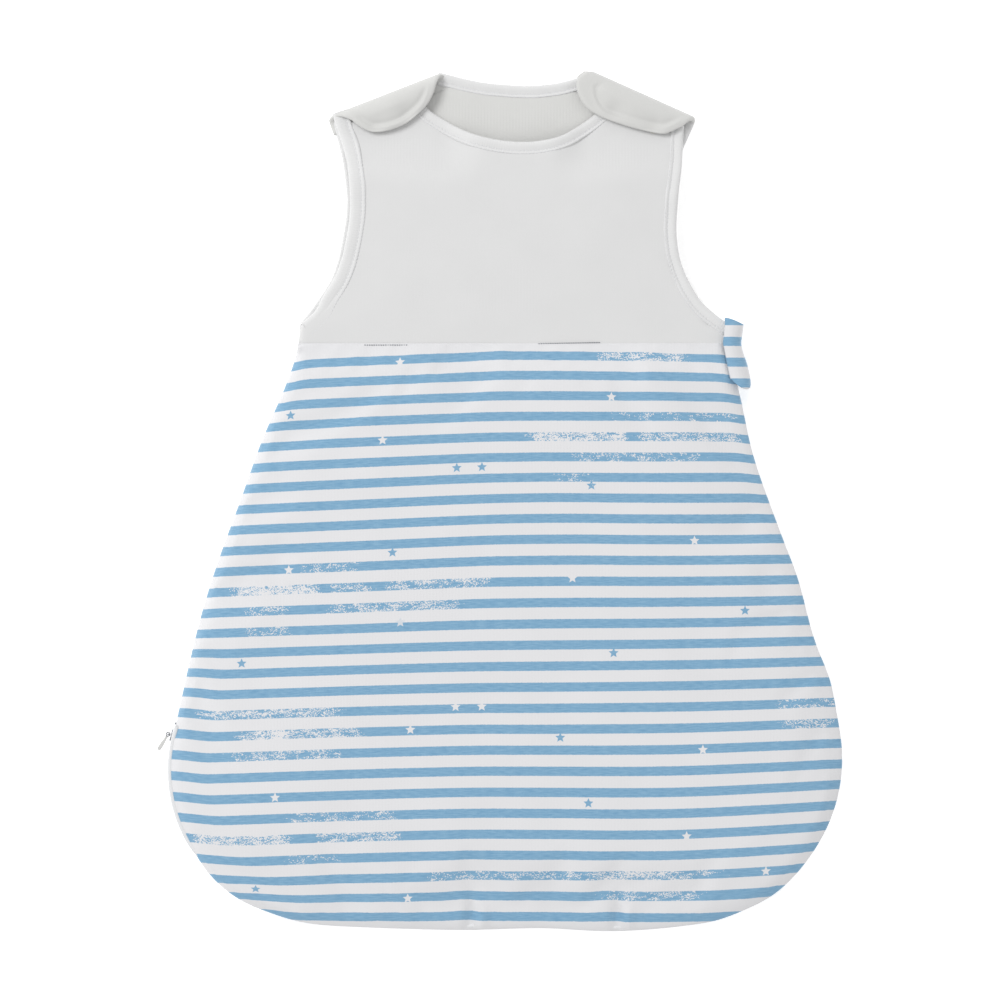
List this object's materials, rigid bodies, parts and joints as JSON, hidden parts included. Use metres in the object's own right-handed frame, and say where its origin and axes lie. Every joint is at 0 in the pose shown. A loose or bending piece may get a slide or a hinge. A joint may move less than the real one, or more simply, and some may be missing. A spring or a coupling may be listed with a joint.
{
  "type": "baby sleeping bag",
  "caption": "Padded sleeveless baby sleeping bag lying flat: striped skirt with a side-and-hem zip, plain yoke, and shoulder straps that fold over and close with press studs.",
  "frame": {"origin": "a point on the back skirt's outer face, where the bag rests, near the middle of its length and width", "axes": "+X to the wearer's left, +Y from the hem to the neck, +Z from the back up through the front"},
  "size_m": [0.5198, 0.6515, 0.024],
  "materials": {
    "print_jersey": "cotton jersey printed with blue stripes on white",
    "white_jersey": "white cotton jersey",
    "lining_jersey": "white cotton jersey lining",
    "wadding": "bonded polyester wadding",
    "zip_tape": "woven polyester tape",
    "zip_coil": "white nylon coil",
    "zip_metal": "enamelled zinc casting",
    "popper_metal": "nickel-plated brass"
  },
  "bodies": {
    "bag": {"back_skirt_shell": "print_jersey", "back_skirt_wadding": "wadding", "back_skirt_lining": "lining_jersey", "front_skirt_upper_shell": "print_jersey", "front_skirt_upper_wadding": "wadding", "front_skirt_upper_lining": "lining_jersey", "back_yoke_shell": "white_jersey", "back_yoke_wadding": "wadding", "back_yoke_lining": "lining_jersey", "front_yoke_shell": "white_jersey", "front_yoke_wadding": "wadding", "front_yoke_lining": "lining_jersey", "armhole_binding_back_left": "white_jersey", "armhole_binding_back_right": "white_jersey", "armhole_binding_front_left": "white_jersey", "armhole_binding_front_right": "white_jersey", "neck_binding_back": "white_jersey", "neck_binding_front": "white_jersey", "side_seam_left": "white_jersey", "side_seam_right": "white_jersey", "zip_tape_back": "zip_tape", "zip_coil_back": "zip_coil", "zip_tape_front_end": "zip_tape", "zip_coil_front_end": "zip_coil", "zip_end_stop": "zip_metal", "zip_guard": "print_jersey", "popper_stud_left_outer": "popper_metal", "popper_stud_left_inner": "popper_metal", "popper_stud_right_outer": "popper_metal", "popper_stud_right_inner": "popper_metal"},
    "front_flap": {"front_skirt_lower_shell": "print_jersey", "front_skirt_lower_wadding": "wadding", "front_skirt_lower_lining": "lining_jersey", "zip_tape_front": "zip_tape", "zip_coil_front": "zip_coil"},
    "slider": {"zip_slider": "zip_metal"},
    "pull": {"zip_pull": "zip_metal"},
    "strap_left": {"strap_left_shell": "white_jersey", "strap_left_wadding": "wadding", "strap_left_lining": "lining_jersey", "strap_left_binding": "white_jersey", "popper_socket_left_outer": "popper_metal", "popper_socket_left_inner": "popper_metal"},
    "strap_right": {"strap_right_shell": "white_jersey", "strap_right_wadding": "wadding", "strap_right_lining": "lining_jersey", "strap_right_binding": "white_jersey", "popper_socket_right_outer": "popper_metal", "popper_socket_right_inner": "popper_metal"}
  },
  "joints": [
    {"name": "front_flap_fold", "type": "hinge", "parent": "bag", "child": "front_flap", "pos_m": [-0.2495, -0.1688, 0.022], "axis": [-0.8692, -0.4945, 0], "range_deg": [0, 150]},
    {"name": "slider_run", "type": "hinge", "parent": "bag", "child": "slider", "pos_m": [-0.1441, -0.2042, 0.0112], "axis": [0, 0, 1], "range_deg": [0, 76]},
    {"name": "pull_swing", "type": "hinge", "parent": "slider", "child": "pull", "pos_m": [-0.25588, -0.17716, 0.0112], "axis": [0, 0, 1], "range_deg": [-150, 28]},
    {"name": "strap_left_fold", "type": "hinge", "parent": "bag", "child": "strap_left", "pos_m": [-0.12836, 0.29583, 0.0079], "axis": [-0.932, -0.3625, 0], "range_deg": [0, 170]},
    {"name": "strap_right_fold", "type": "hinge", "parent": "bag", "child": "strap_right", "pos_m": [0.07241, 0.32541, 0.0079], "axis": [-0.9127, 0.4087, 0], "range_deg": [0, 170]}
  ]
}
